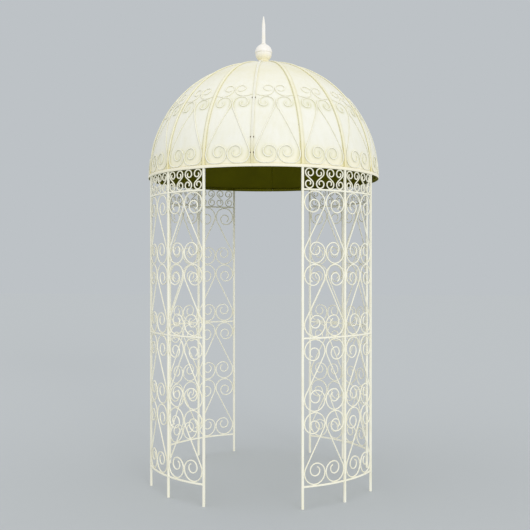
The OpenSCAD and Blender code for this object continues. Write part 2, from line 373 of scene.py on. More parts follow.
@dataclass(frozen=True)
class RustedSteel:
    """Bare steel bolts gone dark brown: matt, flaky rust with a few lighter flecks."""

    name: str = "rusted_steel_bolt"
    colour: str = "#3f2f1c"
    lighter: str = "#6b4a26"
    # Coarser than real flakes of rust. Their relief is so low that close views hardly show it.
    flake_mm: float = 2.0
    flake_depth_mm: float = 0.3
    flake_strength: float = 0.8
    roughness: float = 0.8

    def material(self) -> Material:
        """Builds the rust's material.

        Returns:
            The material, with its pattern on Object coordinates.
        """
        made, tree = new_material(self.name)
        place = add_node(tree, "ShaderNodeTexCoord").outputs["Object"]
        flakes = add_node(
            tree, "ShaderNodeTexNoise",
            {"Vector": place, "Scale": per_metre(self.flake_mm), "Detail": 4.0},
        ).outputs["Fac"]
        colour = add_node(
            tree, "ShaderNodeMix",
            {"Factor": flakes, "A": linear(self.colour), "B": linear(self.lighter)},
            data_type="RGBA",
        )
        coat = {"Base Color": colour.outputs["Result"], "Roughness": self.roughness}
        end_material(tree, coat, flakes, self.flake_depth_mm, self.flake_strength)
        return made


@dataclass(frozen=True)
class Finishes:
    """One material for each of the bandstand's finishes."""

    posts: Material
    scrolls: Material
    sheet: Material
    # Dark olive painted shade inside the dome and on inner faces under it.
    inside_painted_shade: Material
    ribs: Material
    # A little lighter than the sheet's paint: painted highlight on the raised scroll bars.
    relief: Material
    # Strips beside the dome's scrolls: old paint, dust and painted shade.
    yellowed: Material
    # Strips along the ribs: paint, dust and painted shade.
    grime_and_shade: Material
    finial: Material
    bolts: Material


def mix_finishes() -> Finishes:
    """Makes every finish of the bandstand.

    Returns:
        The finishes, ready to assign.
    """
    return Finishes(
        posts=OilPaint("cream_paint_on_steel_frame", "#fcfaea", "#efe9ca").material(),
        scrolls=OilPaint(
            "cream_paint_on_forged_scrolls", "#fcfae9", "#ede6c4", patch_mm=70.0, streak_mm=9.0,
            speck_share=0.07,
        ).material(),
        # The stains are marked on the sheet and on the seam bars, which are in the same paint. The
        # dust mark round the scroll curls is also painted shade. The lighter, warmer foot colour is
        # painted light on the dome's foot and hoop, which face sideways.
        sheet=OilPaint(
            "cream_paint_on_dome_sheet", "#f3f2e6", "#ebe8cf", patch_mm=260.0, streak_mm=30.0,
            speck_share=0.03, brush_mm=3.5, roughness=0.54, foot_colour="#fcf6dc", foot_reach=178.0,
            stain_and_shade_marks=(("yellowing", "#e2daa6"), ("dust", "#d6d5a8")),
        ).material(),
        # Dark olive painted shade for the inside of the dome, the hoop, the caps and the crown
        # plate's underside.
        inside_painted_shade=InsidePaintedShade().material(),
        ribs=OilPaint(
            "cream_paint_on_dome_ribs", "#f5f2da", "#eae3ba", foot_colour="#f4eab8",
            foot_reach=208.0,
        ).material(),
        # A little lighter than the sheet's paint: painted highlight on the raised scroll bars.
        relief=OilPaint(
            "cream_paint_on_dome_scrolls", "#f6f4e6", "#ebe7ca", patch_mm=70.0
        ).material(),
        # Old paint that has run into the corners beside the scrolls, with painted shade there too:
        # pale greenish yellow.
        yellowed=OilPaint(
            "yellowed_paint_and_shade_in_corners", "#e9e6bf", "#dcd8a6", patch_mm=40.0, streak_mm=8.0,
            speck_share=0.07, roughness=0.6,
        ).material(),
        # Thick paint and dust that has settled along the ribs, wider on their left side as painted
        # shade: dull khaki.
        grime_and_shade=OilPaint(
            "khaki_paint_dust_and_shade_along_ribs", "#dfdcb6", "#d0cb9a", yellow_share=0.7,
            patch_mm=50.0, streak_mm=8.0, speck_share=0.09, roughness=0.7,
            foot_colour="#ddd492", foot_reach=268.0,
        ).material(),
        finial=OilPaint(
            "white_paint_on_turned_finial", "#f6f3ef", "#f1ebd2", patch_mm=60.0, streak_mm=10.0,
            foot_colour="#f6eec9", foot_z=3254.0, foot_reach=96.0,
        ).material(),
        bolts=RustedSteel().material(),
    )


# Points and shares


def polar(radius: Numbers, angle: Numbers, height: Numbers = 0.0) -> np.ndarray:
    """Places points about the middle axis.

    Args:
        radius: distance from the axis.
        angle: polar angle in degrees.
        height: height.

    Returns:
        The point, or a row for each.
    """
    turn = np.radians(angle)
    sides = np.broadcast_arrays(radius * np.cos(turn), radius * np.sin(turn), height)
    return np.stack(sides, axis=-1)


def arc(middle: Sequence[float], radius: float, start: float, end: float, step: float) -> np.ndarray:
    """Points of a plane arc.

    Args:
        middle: its middle, x and y.
        radius: its radius.
        start: angle of the first point, in degrees.
        end: angle of the last point.
        step: largest angle between two points.

    Returns:
        The points, one row each.
    """
    count = max(2, math.ceil(abs(end - start) / step) + 1)
    return middle + polar(radius, np.linspace(start, end, count))[:, :2]


def fading(away: Numbers, reach: Numbers) -> Numbers:
    """A share of 1 on the spot that fades smoothly away from it."""
    return np.exp(-((away / reach) ** 2))


# Meshes


# Steps of a rounded edge, and the least angle of an edge that is rounded.
ROUNDING_STEPS = 2
SHARP_DEG = 40

# Cosine past which a face of a ring looks away from outwards or upwards: 120 degrees.
LOOKS_AWAY = -0.5


def in_scene(name: str, data: bpy.types.ID) -> Piece:
    """Puts a new object into the scene.

    Args:
        name: its name.
        data: the mesh, camera or lamp that it holds.

    Returns:
        The object, at the origin.
    """
    made = bpy.data.objects.new(name, data)
    bpy.context.scene.collection.objects.link(made)
    return made


def bare_piece(
    name: str, points: np.ndarray, edges: Sequence[Sequence[int]] = (),
    faces: Sequence[Sequence[int]] = (),
) -> Piece:
    """Makes a mesh object from points in millimetres.

    Args:
        name: the piece's name.
        points: one row of x, y, z for each point.
        edges: the points of each loose edge.
        faces: the points of each face, outwards.

    Returns:
        The object, without a material.
    """
    mesh = bpy.data.meshes.new(name)
    mesh.from_pydata((points * MM).tolist(), edges, faces)
    return in_scene(name, mesh)


def smooth_piece(
    name: str, points: np.ndarray, faces: Sequence[Sequence[int]], *materials: Material
) -> Piece:
    """Makes a smoothly shaded mesh object with its materials.

    Args:
        name: the piece's name.
        points: one row of x, y, z for each point, in millimetres.
        faces: the points of each face, outwards.
        materials: the piece's materials, the first one worn everywhere at first.

    Returns:
        The object.
    """
    piece = bare_piece(name, points, faces=faces)
    for material in materials:
        piece.data.materials.append(material)
    piece.data.polygons.foreach_set("use_smooth", [True] * len(faces))
    piece.data.update()
    return piece


def mark_points(piece: Piece, name: str, values: np.ndarray) -> None:
    """Keeps a number or a direction for each point of a piece, for its paint or for a tree.

    Args:
        piece: the piece.
        name: the attribute's name.
        values: a number, or a row of x, y, z, for each of its first points; the others get 0.
    """
    kind, field = ("FLOAT", "value") if values.ndim == 1 else ("FLOAT_VECTOR", "vector")
    kept = np.zeros((len(piece.data.vertices), *values.shape[1:]), np.float32)
    kept[: len(values)] = values
    piece.data.attributes.new(name, kind, "POINT").data.foreach_set(field, kept.ravel())


def settled(piece: Piece) -> Piece:
    """Turns a piece with its modifiers into a plain mesh.

    Args:
        piece: the piece as it stands.

    Returns:
        The same object, with the evaluated mesh and no modifier.
    """
    graph = bpy.context.evaluated_depsgraph_get()
    made = bpy.data.meshes.new_from_object(
        piece.evaluated_get(graph), preserve_all_data_layers=True, depsgraph=graph
    )
    raw = piece.data
    piece.modifiers.clear()
    piece.data = made
    bpy.data.meshes.remove(raw)
    made.name = piece.name
    return piece


def turned(
    name: str, profile: Sequence[tuple[float, float]], *materials: Material,
    start: float = 0.0, sweep: float = 360.0, steps: int = 96,
) -> Piece:
    """Turns a closed profile about the middle axis.

    Args:
        name: the piece's name.
        profile: radius and height of each corner, counter-clockwise with the axis on the left.
        materials: the piece's materials.
        start: polar angle of the first section.
        sweep: how far it turns, 360 for a whole ring.
        steps: sections in the sweep.

    Returns:
        The object, with closed ends.
    """
    whole = sweep >= 360
    count = len(profile)
    points: list[np.ndarray] = []
    index: dict[tuple[int, int], int] = {}
    for s, angle in enumerate(start + np.linspace(0, sweep, steps, endpoint=not whole)):
        for i, (radius, height) in enumerate(profile):
            if whole and radius == 0 and s > 0:
                index[s, i] = index[0, i]
            else:
                index[s, i] = len(points)
                points.append(polar(radius, angle, height))
    faces = []
    for s in range(steps if whole else steps - 1):
        t = (s + 1) % steps
        for i in range(count):
            j = (i + 1) % count
            face = list(dict.fromkeys([index[s, i], index[t, i], index[t, j], index[s, j]]))
            if len(face) > 2:
                faces.append(face)
    if not whole:
        faces.append([index[0, i] for i in range(count)])
        faces.append([index[steps - 1, i] for i in reversed(range(count))])
    return smooth_piece(name, np.array(points), faces, *materials)


def rounded_corners(piece: Piece, radius: float) -> Piece:
    """Rounds a piece's sharp edges, but not the facets of its round sides.

    Args:
        piece: the piece with sharp edges.
        radius: width of the rounding in millimetres.

    Returns:
        The same piece as a plain mesh.
    """
    bevel = piece.modifiers.new("rounding", "BEVEL")
    bevel.width = radius * MM
    bevel.segments = ROUNDING_STEPS
    bevel.limit_method = "ANGLE"
    bevel.angle_limit = math.radians(SHARP_DEG)
    return settled(piece)


def joined(piece: Piece, other: Piece) -> Piece:
    """Joins another object into a piece.

    Args:
        piece: the object that stays.
        other: the one that goes into it.

    Returns:
        The piece.
    """
    with bpy.context.temp_override(
        active_object=piece, selected_editable_objects=[piece, other]
    ):
        bpy.ops.object.join()
    return piece


def with_inside_painted_shade(ring: Piece, flange_r: float = 0.0) -> Piece:
    """Gives the inner side of a ring round the middle axis its second material, the dark olive
    painted shade.

    Args:
        ring: the ring, or a part of one.
        flange_r: radius in millimetres within which faces that look down belong to that side.

    Returns:
        The same piece.
    """
    for face in ring.data.polygons:
        outward = Vector((face.center.x, face.center.y, 0.0)).normalized()
        under_flange = face.normal.z < LOOKS_AWAY and face.center.xy.length < flange_r * MM
        face.material_index = int(face.normal.dot(outward) < LOOKS_AWAY or under_flange)
    return ring


def dress(piece: Piece, slot: Slot, *stands_for: str) -> None:
    """Puts a finished piece on the bandstand and reports it.

    Args:
        piece: the piece, in its place.
        slot: the record's material slot of its finish, which is only named in the log.
        stands_for: the CAD nodes that it replaces.
    """
    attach(piece, BODY)
    if stands_for:
        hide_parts(*stands_for)
    LOG.info("%s: %d faces, slot %s", piece.name, len(piece.data.polygons), slot.value)


# Bars, welds and bolts


# Least and most size of a weld, as a share of the even size.
WELD_SPREAD = (0.8, 1.2)


@dataclass(frozen=True)
class Section:
    """Cross-section of a bar: width across, depth outwards, and the radius of its corners."""

    width: float
    depth: float
    corner: float


@dataclass
class BarPath:
    """Middle line of a bar: its points, the outward direction and the section's share at each."""

    points: np.ndarray
    outward: np.ndarray
    share: np.ndarray


def even_path(points: np.ndarray, outward: np.ndarray) -> BarPath:
    """A bar of even section, with an outward direction for each point or one for all."""
    return BarPath(points, np.broadcast_to(outward, points.shape), np.ones(len(points)))


@dataclass
class Place:
    """Where a small repeated part sits, and the direction of its long axis."""

    point: np.ndarray
    along: np.ndarray


class TreeMaker:
    """Start of a Geometry Nodes tree that takes a piece, sizes and a material."""

    def __init__(self, name: str, sizes: Sequence[str], numbers: Sequence[str] = ()) -> None:
        """Opens the tree.

        Args:
            name: the tree's name.
            sizes: names of its inputs for sizes.
            numbers: names of its inputs for whole numbers.
        """
        self.tree = bpy.data.node_groups.new(name, "GeometryNodeTree")
        face = self.tree.interface
        for way in ("OUTPUT", "INPUT"):
            face.new_socket("Geometry", in_out=way, socket_type="NodeSocketGeometry")
        kinds = {
            **dict.fromkeys(sizes, "NodeSocketFloat"), **dict.fromkeys(numbers, "NodeSocketInt"),
            "Material": "NodeSocketMaterial",
        }
        self.sockets = {
            key: face.new_socket(key, in_out="INPUT", socket_type=kind).identifier
            for key, kind in kinds.items()
        }
        self.start = add_node(self.tree, "NodeGroupInput")

    def feed(self, name: str) -> Socket:
        """Output of the tree's input of that name."""
        return self.start.outputs[name]

    def close(self, geometry: Socket, smooth: bool) -> None:
        """Ends the tree: copies made real, shaded and painted.

        Args:
            geometry: what the tree has made.
            smooth: whether it is shaded smooth.
        """
        real = add_node(self.tree, "GeometryNodeRealizeInstances", {"Geometry": geometry})
        shaded = real.outputs[0]
        if smooth:
            shaded = add_node(
                self.tree, "GeometryNodeSetShadeSmooth", {"Geometry": shaded, "Shade Smooth": True}
            ).outputs[0]
        painted = add_node(
            self.tree, "GeometryNodeSetMaterial",
            {"Geometry": shaded, "Material": self.feed("Material")},
        )
        add_node(self.tree, "NodeGroupOutput", {"Geometry": painted.outputs[0]})

    def run(self, piece: Piece, material: Material, **values: float) -> Piece:
        """Runs the tree on a piece.

        Args:
            piece: the object that holds the paths or places.
            material: the finish of what the tree makes.
            values: a value for each of the other named inputs, with _ for a space.

        Returns:
            The same object as a plain mesh.
        """
        modifier = piece.modifiers.new(self.tree.name, "NODES")
        modifier.node_group = self.tree
        modifier[self.sockets["Material"]] = material
        for key, value in values.items():
            modifier[self.sockets[key.replace("_", " ")]] = value
        return settled(piece)


class BarTree(TreeMaker):
    """Sweeps a round-edged bar along every path of a piece."""

    def __init__(self) -> None:
        """Builds the tree."""
        super().__init__("bar_along_path", ("Width", "Depth", "Corner"))
        tree = self.tree
        line = add_node(tree, "GeometryNodeMeshToCurve", {"Mesh": self.feed("Geometry")})
        outward, share = (
            add_node(
                tree, "GeometryNodeInputNamedAttribute", {"Name": name}, data_type=kind
            ).outputs[0]
            for name, kind in (("outward", "FLOAT_VECTOR"), ("share", "FLOAT"))
        )
        facing = add_node(
            tree, "GeometryNodeSetCurveNormal", {"Curve": line.outputs[0], "Normal": outward},
            mode="FREE",
        )
        box = add_node(
            tree, "GeometryNodeCurvePrimitiveQuadrilateral",
            {"Width": self.feed("Depth"), "Height": self.feed("Width")},
        )
        section = add_node(
            tree, "GeometryNodeFilletCurve",
            {"Curve": box.outputs[0], "Radius": self.feed("Corner"), "Count": 1}, mode="POLY",
        )
        bar = add_node(
            tree, "GeometryNodeCurveToMesh",
            {
                "Curve": facing.outputs[0], "Profile Curve": section.outputs[0],
                "Scale": share, "Fill Caps": True,
            },
        )
        self.close(bar.outputs[0], smooth=True)

    def sweep(
        self, name: str, paths: Sequence[BarPath], section: Section, material: Material
    ) -> Piece:
        """Makes bars of one section along several paths.

        Args:
            name: the piece's name.
            paths: the bars' middle lines.
            section: their cross-section.
            material: their finish.

        Returns:
            One object with all the bars.
        """
        ends = np.cumsum([len(path.points) for path in paths]).tolist()
        edges = [(i - 1, i) for i in range(1, ends[-1]) if i not in ends]
        piece = bare_piece(name, np.concatenate([path.points for path in paths]), edges)
        mark_points(piece, "outward", np.concatenate([path.outward for path in paths]))
        mark_points(piece, "share", np.concatenate([path.share for path in paths]))
        return self.run(
            piece, material, Width=section.width * MM, Depth=section.depth * MM,
            Corner=section.corner * MM,
        )


class ScatterTree(TreeMaker):
    """Start of a tree that puts a copy of a small part at every point of a piece."""

    def copies(self, part: Socket, size: Socket | tuple[float, float, float]) -> Socket:
        """Puts the part at each point, its Z axis along the point's direction.

        Args:
            part: the small part's geometry.
            size: its scale.

        Returns:
            The copies.
        """
        along = add_node(
            self.tree, "GeometryNodeInputNamedAttribute", {"Name": "along"},
            data_type="FLOAT_VECTOR",
        )
        turn = add_node(
            self.tree, "FunctionNodeAlignRotationToVector", {"Vector": along.outputs[0]}, axis="Z"
        )
        return add_node(
            self.tree, "GeometryNodeInstanceOnPoints",
            {
                "Points": self.feed("Geometry"), "Instance": part,
                "Rotation": turn.outputs[0], "Scale": size,
            },
        ).outputs[0]

    def scatter(
        self, name: str, places: Sequence[Place], material: Material, **values: float
    ) -> Piece:
        """Makes one object of copies at the places.

        Args:
            name: the piece's name.
            places: where the copies go.
            material: their finish.
            values: the tree's other inputs.

        Returns:
            The object.
        """
        piece = bare_piece(name, np.array([place.point for place in places]))
        mark_points(piece, "along", np.array([place.along for place in places]))
        return self.run(piece, material, **values)


class WeldTree(ScatterTree):
    """Small welds: flattened beads that close the corner where two bars touch."""

    def __init__(self) -> None:
        """Builds the tree."""
        super().__init__("welds", ("Radius", "Length"), ("Seed",))
        bead = add_node(
            self.tree, "GeometryNodeMeshIcoSphere", {"Radius": 1.0, "Subdivisions": 2}
        )
        # Inputs 2 and 3 are the least and the most of a random number, and output 1 is the number.
        least, most = WELD_SPREAD
        spread = add_node(
            self.tree, "FunctionNodeRandomValue", {2: least, 3: most, "Seed": self.feed("Seed")},
            data_type="FLOAT",
        )
        wide, long = (
            add_node(
                self.tree, "ShaderNodeMath", {0: self.feed(key), 1: spread.outputs[1]},
                operation="MULTIPLY",
            ).outputs[0]
            for key in ("Radius", "Length")
        )
        size = add_node(self.tree, "ShaderNodeCombineXYZ", {"X": wide, "Y": wide, "Z": long})
        self.close(self.copies(bead.outputs[0], size.outputs[0]), smooth=True)


class BoltTree(ScatterTree):
    """Bolts with a hexagon head at one end and a nut at the other."""

    def __init__(self) -> None:
        """Builds the tree."""
        super().__init__(
            "bolts", ("Head Radius", "Head Height", "Shank Radius", "Shank Length", "Grip")
        )
        tree = self.tree
        hexagon, shank = (
            add_node(
                tree, "GeometryNodeMeshCylinder",
                {"Vertices": sides, "Radius": self.feed(radius), "Depth": self.feed(depth)},
            )
            for sides, radius, depth in (
                (6, "Head Radius", "Head Height"), (12, "Shank Radius", "Shank Length"),
            )
        )
        apart = add_node(
            tree, "ShaderNodeMath", {0: self.feed("Grip"), 1: self.feed("Head Height")},
            operation="ADD",
        )
        whole = add_node(tree, "GeometryNodeJoinGeometry", {0: shank.outputs[0]})
        for side in (0.5, -0.5):
            height = add_node(
                tree, "ShaderNodeMath", {0: apart.outputs[0], 1: side}, operation="MULTIPLY"
            )
            shift = add_node(tree, "ShaderNodeCombineXYZ", {"Z": height.outputs[0]})
            end = add_node(
                tree, "GeometryNodeTransform",
                {"Geometry": hexagon.outputs[0], "Translation": shift.outputs[0]},
            )
            tree.links.new(end.outputs[0], whole.inputs[0])
        self.close(self.copies(whole.outputs[0], (1.0, 1.0, 1.0)), smooth=False)


@dataclass
class Tools:
    """What every sub-assembly builds with."""

    finishes: Finishes
    bars: BarTree
    welds: WeldTree
    bolts: BoltTree


# Scrolls


# Steps round a scroll's inner winds, as a multiple of the steps round its big bends.
WIND_STEP = 1.5


class Touch(Enum):
    """Where a scroll touches what is next to it."""

    TOP = "top"
    FOOT = "foot"
    SIDE = "side"


@dataclass(frozen=True)
class Scroll:
    """An S scroll: two big bends, wound inwards in quarter turns, and a slanting stem."""

    wide: float
    high: float
    bar: float
    winds: tuple[float, ...]
    tail: float
    step: float

    @property
    def bend(self) -> float:
        """Radius of the big bends' middle line."""
        return round((self.wide - self.bar) / 2, 2)

    @property
    def reach(self) -> float:
        """Half the height of the middle line."""
        return round((self.high - self.bar) / 2, 2)

    def line(self) -> np.ndarray:
        """Draws the middle line: the upper scroll, the stem, and the same turned by half a turn.

        Returns:
            Its points, x and y, from the upper inner end to the lower one.
        """
        big, top = self.bend, self.reach
        lean = math.degrees(math.asin(big / (top - big)))
        crown = arc((0.0, top - big), big, 0, 180 + lean, self.step)
        middle, last, parts = np.array([0.0, top - big]), big, [crown]
        for k, share in enumerate(self.winds):
            radius = round(big * share, 2)
            middle = middle + (last - radius) * polar(1, -90 * k)[:2]
            turn = self.tail if k == len(self.winds) - 1 else 90
            wind = arc(middle, radius, -90 * k - turn, -90 * k, self.step * WIND_STEP)
            parts.insert(0, wind[:-1])
            last = radius
        half = np.concatenate(parts)
        return np.concatenate([half, -half[::-1]])

    def contacts(self) -> list[tuple[np.ndarray, np.ndarray, Touch]]:
        """Finds where the scroll touches its neighbours.

        Returns:
            The point, the direction of the touch, and its side.
        """
        edge = self.bar / 2
        across, up = np.array([1.0, 0.0]), np.array([0.0, 1.0])
        tall, wide, low = self.reach + edge, self.bend + edge, self.reach - self.bend
        ends = [(up * tall, across, Touch.TOP), (up * -tall, across, Touch.FOOT)]
        return ends + [
            (across * wide * side + up * low * half, up, Touch.SIDE)
            for half in (1, -1)
            for side in (1, -1)
        ]


@dataclass(frozen=True)
class StandingScroll:
    """A flat scroll that stands upright in a pier and faces outwards."""

    shape: Scroll
    angle: float
    radius: float
    height: float
    hand: int

    def upright(self, flat: np.ndarray) -> np.ndarray:
        """Stands flat points of the scroll upright in its place.

        Args:
            flat: the points, x and y from the scroll's middle.

        Returns:
            The points in space.
        """
        out, side = polar(1, self.angle), polar(1, self.angle + 90) * self.hand
        middle = out * self.radius + [0, 0, self.height]
        return middle + np.outer(flat[:, 0], side) + np.outer(flat[:, 1], [0, 0, 1])

    def path(self) -> BarPath:
        """Path of its bar."""
        return even_path(self.upright(self.shape.line()), polar(1, self.angle))

    def welds(self, *sides: Touch) -> list[Place]:
        """Finds the places of its welds.

        Args:
            sides: the sides that are welded.

        Returns:
            The places, each along the line of the touch.
        """
        return [
            Place(
                self.upright(point[None])[0],
                polar(1, self.angle + 90) * along[0] + np.array([0, 0, along[1]]),
            )
            for point, along, side in self.shape.contacts()
            if side in sides
        ]


# Bends of the scrolls laid on the dome, as radius and degrees, or 0 and a straight length.
BIG_LOW_BENDS = (
    (0, 160), (120, 25), (60, 90), (0, 36), (62, 90), (57, 90), (41, 90), (36, 90), (27, 90),
    (20, 60),
)
BIG_TOP_BENDS = ((0, 160), (110, 25), (57, 90), (55, 90), (31, 90), (24, 90), (18, 60))
SMALL_BENDS = ((93, 43), (66, 90), (37, 90), (28, 90), (30, 90), (18, 70))

# Directions in which they start: the big one's stem upwards, and the small one's middle.
BIG_HEADING = 65.0
SMALL_HEADING = -43.0

# Largest steps along their bends, in degrees, and along their straights.
BEND_STEP = 11.0
STRAIGHT_STEP = 30.0


def walk(heading: float, bends: Sequence[tuple[float, float]]) -> np.ndarray:
    """Walks along a chain of left-hand bends, from the middle of the drawing.

    Args:
        heading: the direction at the start, in degrees.
        bends: radius and turn of each bend, or 0 and the length of a straight.

    Returns:
        The points without the first one, one row each.
    """
    spot, found = np.zeros(2), []
    for radius, amount in bends:
        if radius == 0:
            count = math.ceil(amount / STRAIGHT_STEP)
            steps = np.linspace(0, amount, count + 1)[1:]
            found.append(spot + np.outer(steps, polar(1, heading)[:2]))
        else:
            middle = spot + polar(radius, heading + 90)[:2]
            turn = heading - 90
            found.append(arc(middle, radius, turn, turn + amount, BEND_STEP)[1:])
            heading += amount
        spot = found[-1][-1]
    return np.concatenate(found)


def fitted(line: np.ndarray, left: float, right: float, low: float, high: float) -> np.ndarray:
    """Stretches a flat line to fill a box."""
    least, most = line.min(0), line.max(0)
    return np.array([left, low]) + (line - least) * [right - left, high - low] / (most - least)


# Piers and dome


# Seeds of the quarters' random sizes are below this number.
SEEDS = 97

# Parts in which the table of the sheet's distances is worked out, so that it stays small.
DISTANCE_PARTS = 30


@dataclass
class QuarterPart:
    """What a pier and its quarter of the dome have in common."""

    quarter: Quarter
    tools: Tools
    bay_deg: float = 22.5
    seat: float = 0.3

    def node(self, name: str) -> str:
        """Full name of one of the quarter's nodes or pieces."""
        return f"{self.quarter.label}_{name}"

    def angle(self, bays: float) -> float:
        """Polar angle that many bays past the quarter's middle."""
        return self.quarter.value + bays * self.bay_deg


@dataclass
class Pier(QuarterPart):
    """A curved pier: three square posts, rails between them, and two bays of scrolls."""

    post_r: float = 889.0
    top_z: float = 2331.7
    post_bar: Section = Section(16.0, 16.0, 1.4)
    rail_bar: Section = Section(12.0, 12.0, 1.2)
    rail_heights: tuple[float, float, float] = (151.0, 1164.0, 2182.0)
    cap_radii: tuple[float, float] = (883.0, 895.7)
    cap_z: tuple[float, float] = (2332.0, 2344.0)
    level_step: float = 1.5
    bay_bar: Section = Section(8.0, 8.0, 1.6)
    bay_winds: tuple[float, ...] = (0.84, 0.6, 0.5, 0.43, 0.37)
    bay_tail: float = 70.0
    bay_step: float = 11.0
    frieze_bar: Section = Section(8.0, 8.0, 1.8)
    frieze_count: int = 4
    frieze_fill: float = 0.8
    frieze_winds: tuple[float, ...] = (0.76, 0.58, 0.42)
    frieze_tail: float = 60.0
    frieze_step: float = 14.0
    weld_r: float = 2.6
    weld_long: float = 6.5

    @property
    def post_deg(self) -> float:
        """Angle that half a post takes up."""
        return math.degrees(math.asin((self.post_bar.width / 2 + self.seat) / self.post_r))

    @property
    def half_deg(self) -> float:
        """Angle that half a half bay takes up."""
        return (self.bay_deg / 2 - self.post_deg) / 2

    @property
    def panel_r(self) -> float:
        """Distance of a half bay's flat panel from the axis."""
        return self.post_r * (1 + math.cos(math.radians(self.half_deg))) / 2

    @property
    def panel_w(self) -> float:
        """Works out the width of a half bay's flat panel, clear of the posts.

        Returns:
            The width.
        """
        lean = math.tan(math.radians(self.post_deg + self.half_deg))
        clear = self.seat + self.bay_bar.width / 2 * lean
        return 2 * (self.post_r * math.sin(math.radians(self.half_deg)) - clear)

    def posts(self) -> Piece:
        """Makes the three square posts.

        Returns:
            The posts as one object.
        """
        heights = np.array([0.0, self.top_z / 2, self.top_z])
        paths = [
            even_path(polar(self.post_r, self.angle(k), heights), polar(1, self.angle(k)))
            for k in (-1, 0, 1)
        ]
        return self.tools.bars.sweep(
            self.node("square_posts"), paths, self.post_bar, self.tools.finishes.posts
        )

    def level_path(self, start: float, end: float, radius: float, height: float) -> BarPath:
        """Draws a level curved bar.

        Args:
            start: polar angle where it starts.
            end: polar angle where it ends.
            radius: radius of its middle line.
            height: height of its middle line.

        Returns:
            Its path.
        """
        angles = np.linspace(start, end, math.ceil((end - start) / self.level_step) + 1)
        return even_path(polar(radius, angles, height), polar(1, angles))

    def rails(self) -> Piece:
        """Makes the curved rails of both bays, and the flat bar that caps the pier.

        Returns:
            The rails and the cap as one object.
        """
        bars, finishes = self.tools.bars, self.tools.finishes
        paths = [
            self.level_path(
                self.angle(k) + self.post_deg, self.angle(k + 1) - self.post_deg,
                self.post_r, height,
            )
            for k in (-1, 0)
            for height in self.rail_heights
        ]
        rails = bars.sweep(self.node("curved_rails"), paths, self.rail_bar, finishes.posts)
        inner, outer = self.cap_radii
        low, high = self.cap_z
        cap_path = self.level_path(
            self.angle(-1) - self.post_deg, self.angle(1) + self.post_deg,
            (inner + outer) / 2, (low + high) / 2,
        )
        cap_bar = Section(high - low, outer - inner, self.rail_bar.corner)
        cap = bars.sweep("cap_bar", [cap_path], cap_bar, finishes.posts)
        # The cap's inner faces wear the dark olive painted shade.
        cap.data.materials.append(finishes.inside_painted_shade)
        return joined(rails, with_inside_painted_shade(cap))

    def bay_scrolls(self, bay: int) -> list[StandingScroll]:
        """Places the scrolls of a bay: two pairs below the middle rail and two above.

        Args:
            bay: the bay's number, 1 or 2.

        Returns:
            The scrolls, from the bottom pair to the top one.
        """
        middle = self.post_deg + self.half_deg
        found = []
        for foot, head in zip(self.rail_heights, self.rail_heights[1:]):
            step = (head - foot - self.rail_bar.width - self.seat) / 2
            shape = Scroll(
                self.panel_w, step - self.seat, self.bay_bar.width, self.bay_winds,
                self.bay_tail, self.bay_step,
            )
            for m in (0.5, 1.5):
                height = foot + self.rail_bar.width / 2 + self.seat + m * step
                found += [
                    StandingScroll(shape, angle, self.panel_r, height, hand)
                    for angle, hand in (
                        (self.angle(bay - 2) + middle, -1), (self.angle(bay - 1) - middle, 1),
                    )
                ]
        return found

    def bay(self, bay: int) -> Piece:
        """Makes the eight S scrolls of one bay.

        Args:
            bay: the bay's number, 1 or 2.

        Returns:
            The scrolls as one object.
        """
        return self.tools.bars.sweep(
            self.node(f"bay_{bay}_scrolls"), [scroll.path() for scroll in self.bay_scrolls(bay)],
            self.bay_bar, self.tools.finishes.scrolls,
        )

    def frieze_scrolls(self) -> list[StandingScroll]:
        """Places the small scrolls over the frieze rail, every second one turned the other way.

        Returns:
            The scrolls of both bays.
        """
        step = (self.bay_deg - 2 * self.post_deg) / self.frieze_count
        pitch = 2 * self.post_r * math.sin(math.radians(step / 2))
        foot = self.rail_heights[-1] + self.rail_bar.width / 2 + self.seat
        shape = Scroll(
            pitch * self.frieze_fill, self.top_z - foot, self.frieze_bar.width,
            self.frieze_winds, self.frieze_tail, self.frieze_step,
        )
        return [
            StandingScroll(
                shape, self.angle(bay) + self.post_deg + (k + 0.5) * step, self.post_r,
                (foot + self.top_z) / 2, -1 if k % 2 else 1,
            )
            for bay in (-1, 0)
            for k in range(self.frieze_count)
        ]

    def frieze(self) -> Piece:
        """Makes the row of small S scrolls under the dome.

        Returns:
            The scrolls as one object.
        """
        return self.tools.bars.sweep(
            self.node("frieze_scrolls"), [scroll.path() for scroll in self.frieze_scrolls()],
            self.frieze_bar, self.tools.finishes.scrolls,
        )

    def welds(self) -> Piece:
        """Makes the welds where scrolls touch posts, rails and each other.

        Returns:
            The welds as one object.
        """
        places = []
        for bay in (1, 2):
            for i, scroll in enumerate(self.bay_scrolls(bay)):
                lower_pair = i // 2 % 2 == 0
                ends = (Touch.FOOT,) if lower_pair else (Touch.TOP, Touch.FOOT)
                places += scroll.welds(*ends, Touch.SIDE)
        for scroll in self.frieze_scrolls():
            places += scroll.welds(Touch.TOP, Touch.FOOT)
        return self.tools.welds.scatter(
            self.node("welds"), places, self.tools.finishes.scrolls,
            Radius=self.weld_r * MM, Length=self.weld_long * MM,
            Seed=int(self.quarter.value) % SEEDS,
        )

    def build(self) -> None:
        """Builds and dresses the whole pier."""
        dress(self.posts(), Slot.PIER_FRAME, self.node("posts"))
        dress(self.rails(), Slot.PIER_FRAME, self.node("rails"))
        for bay in (1, 2):
            dress(self.bay(bay), Slot.PIER_SCROLLWORK, self.node(f"bay_{bay}"))
        dress(self.frieze(), Slot.PIER_SCROLLWORK, self.node("frieze"))
        dress(self.welds(), Slot.PIER_SCROLLWORK)


def dome_out(angle: Numbers, rise: Numbers) -> np.ndarray:
    """Outward direction on the dome at a polar angle and a height angle."""
    lift = np.radians(rise)
    return polar(np.cos(lift), angle, np.sin(lift))


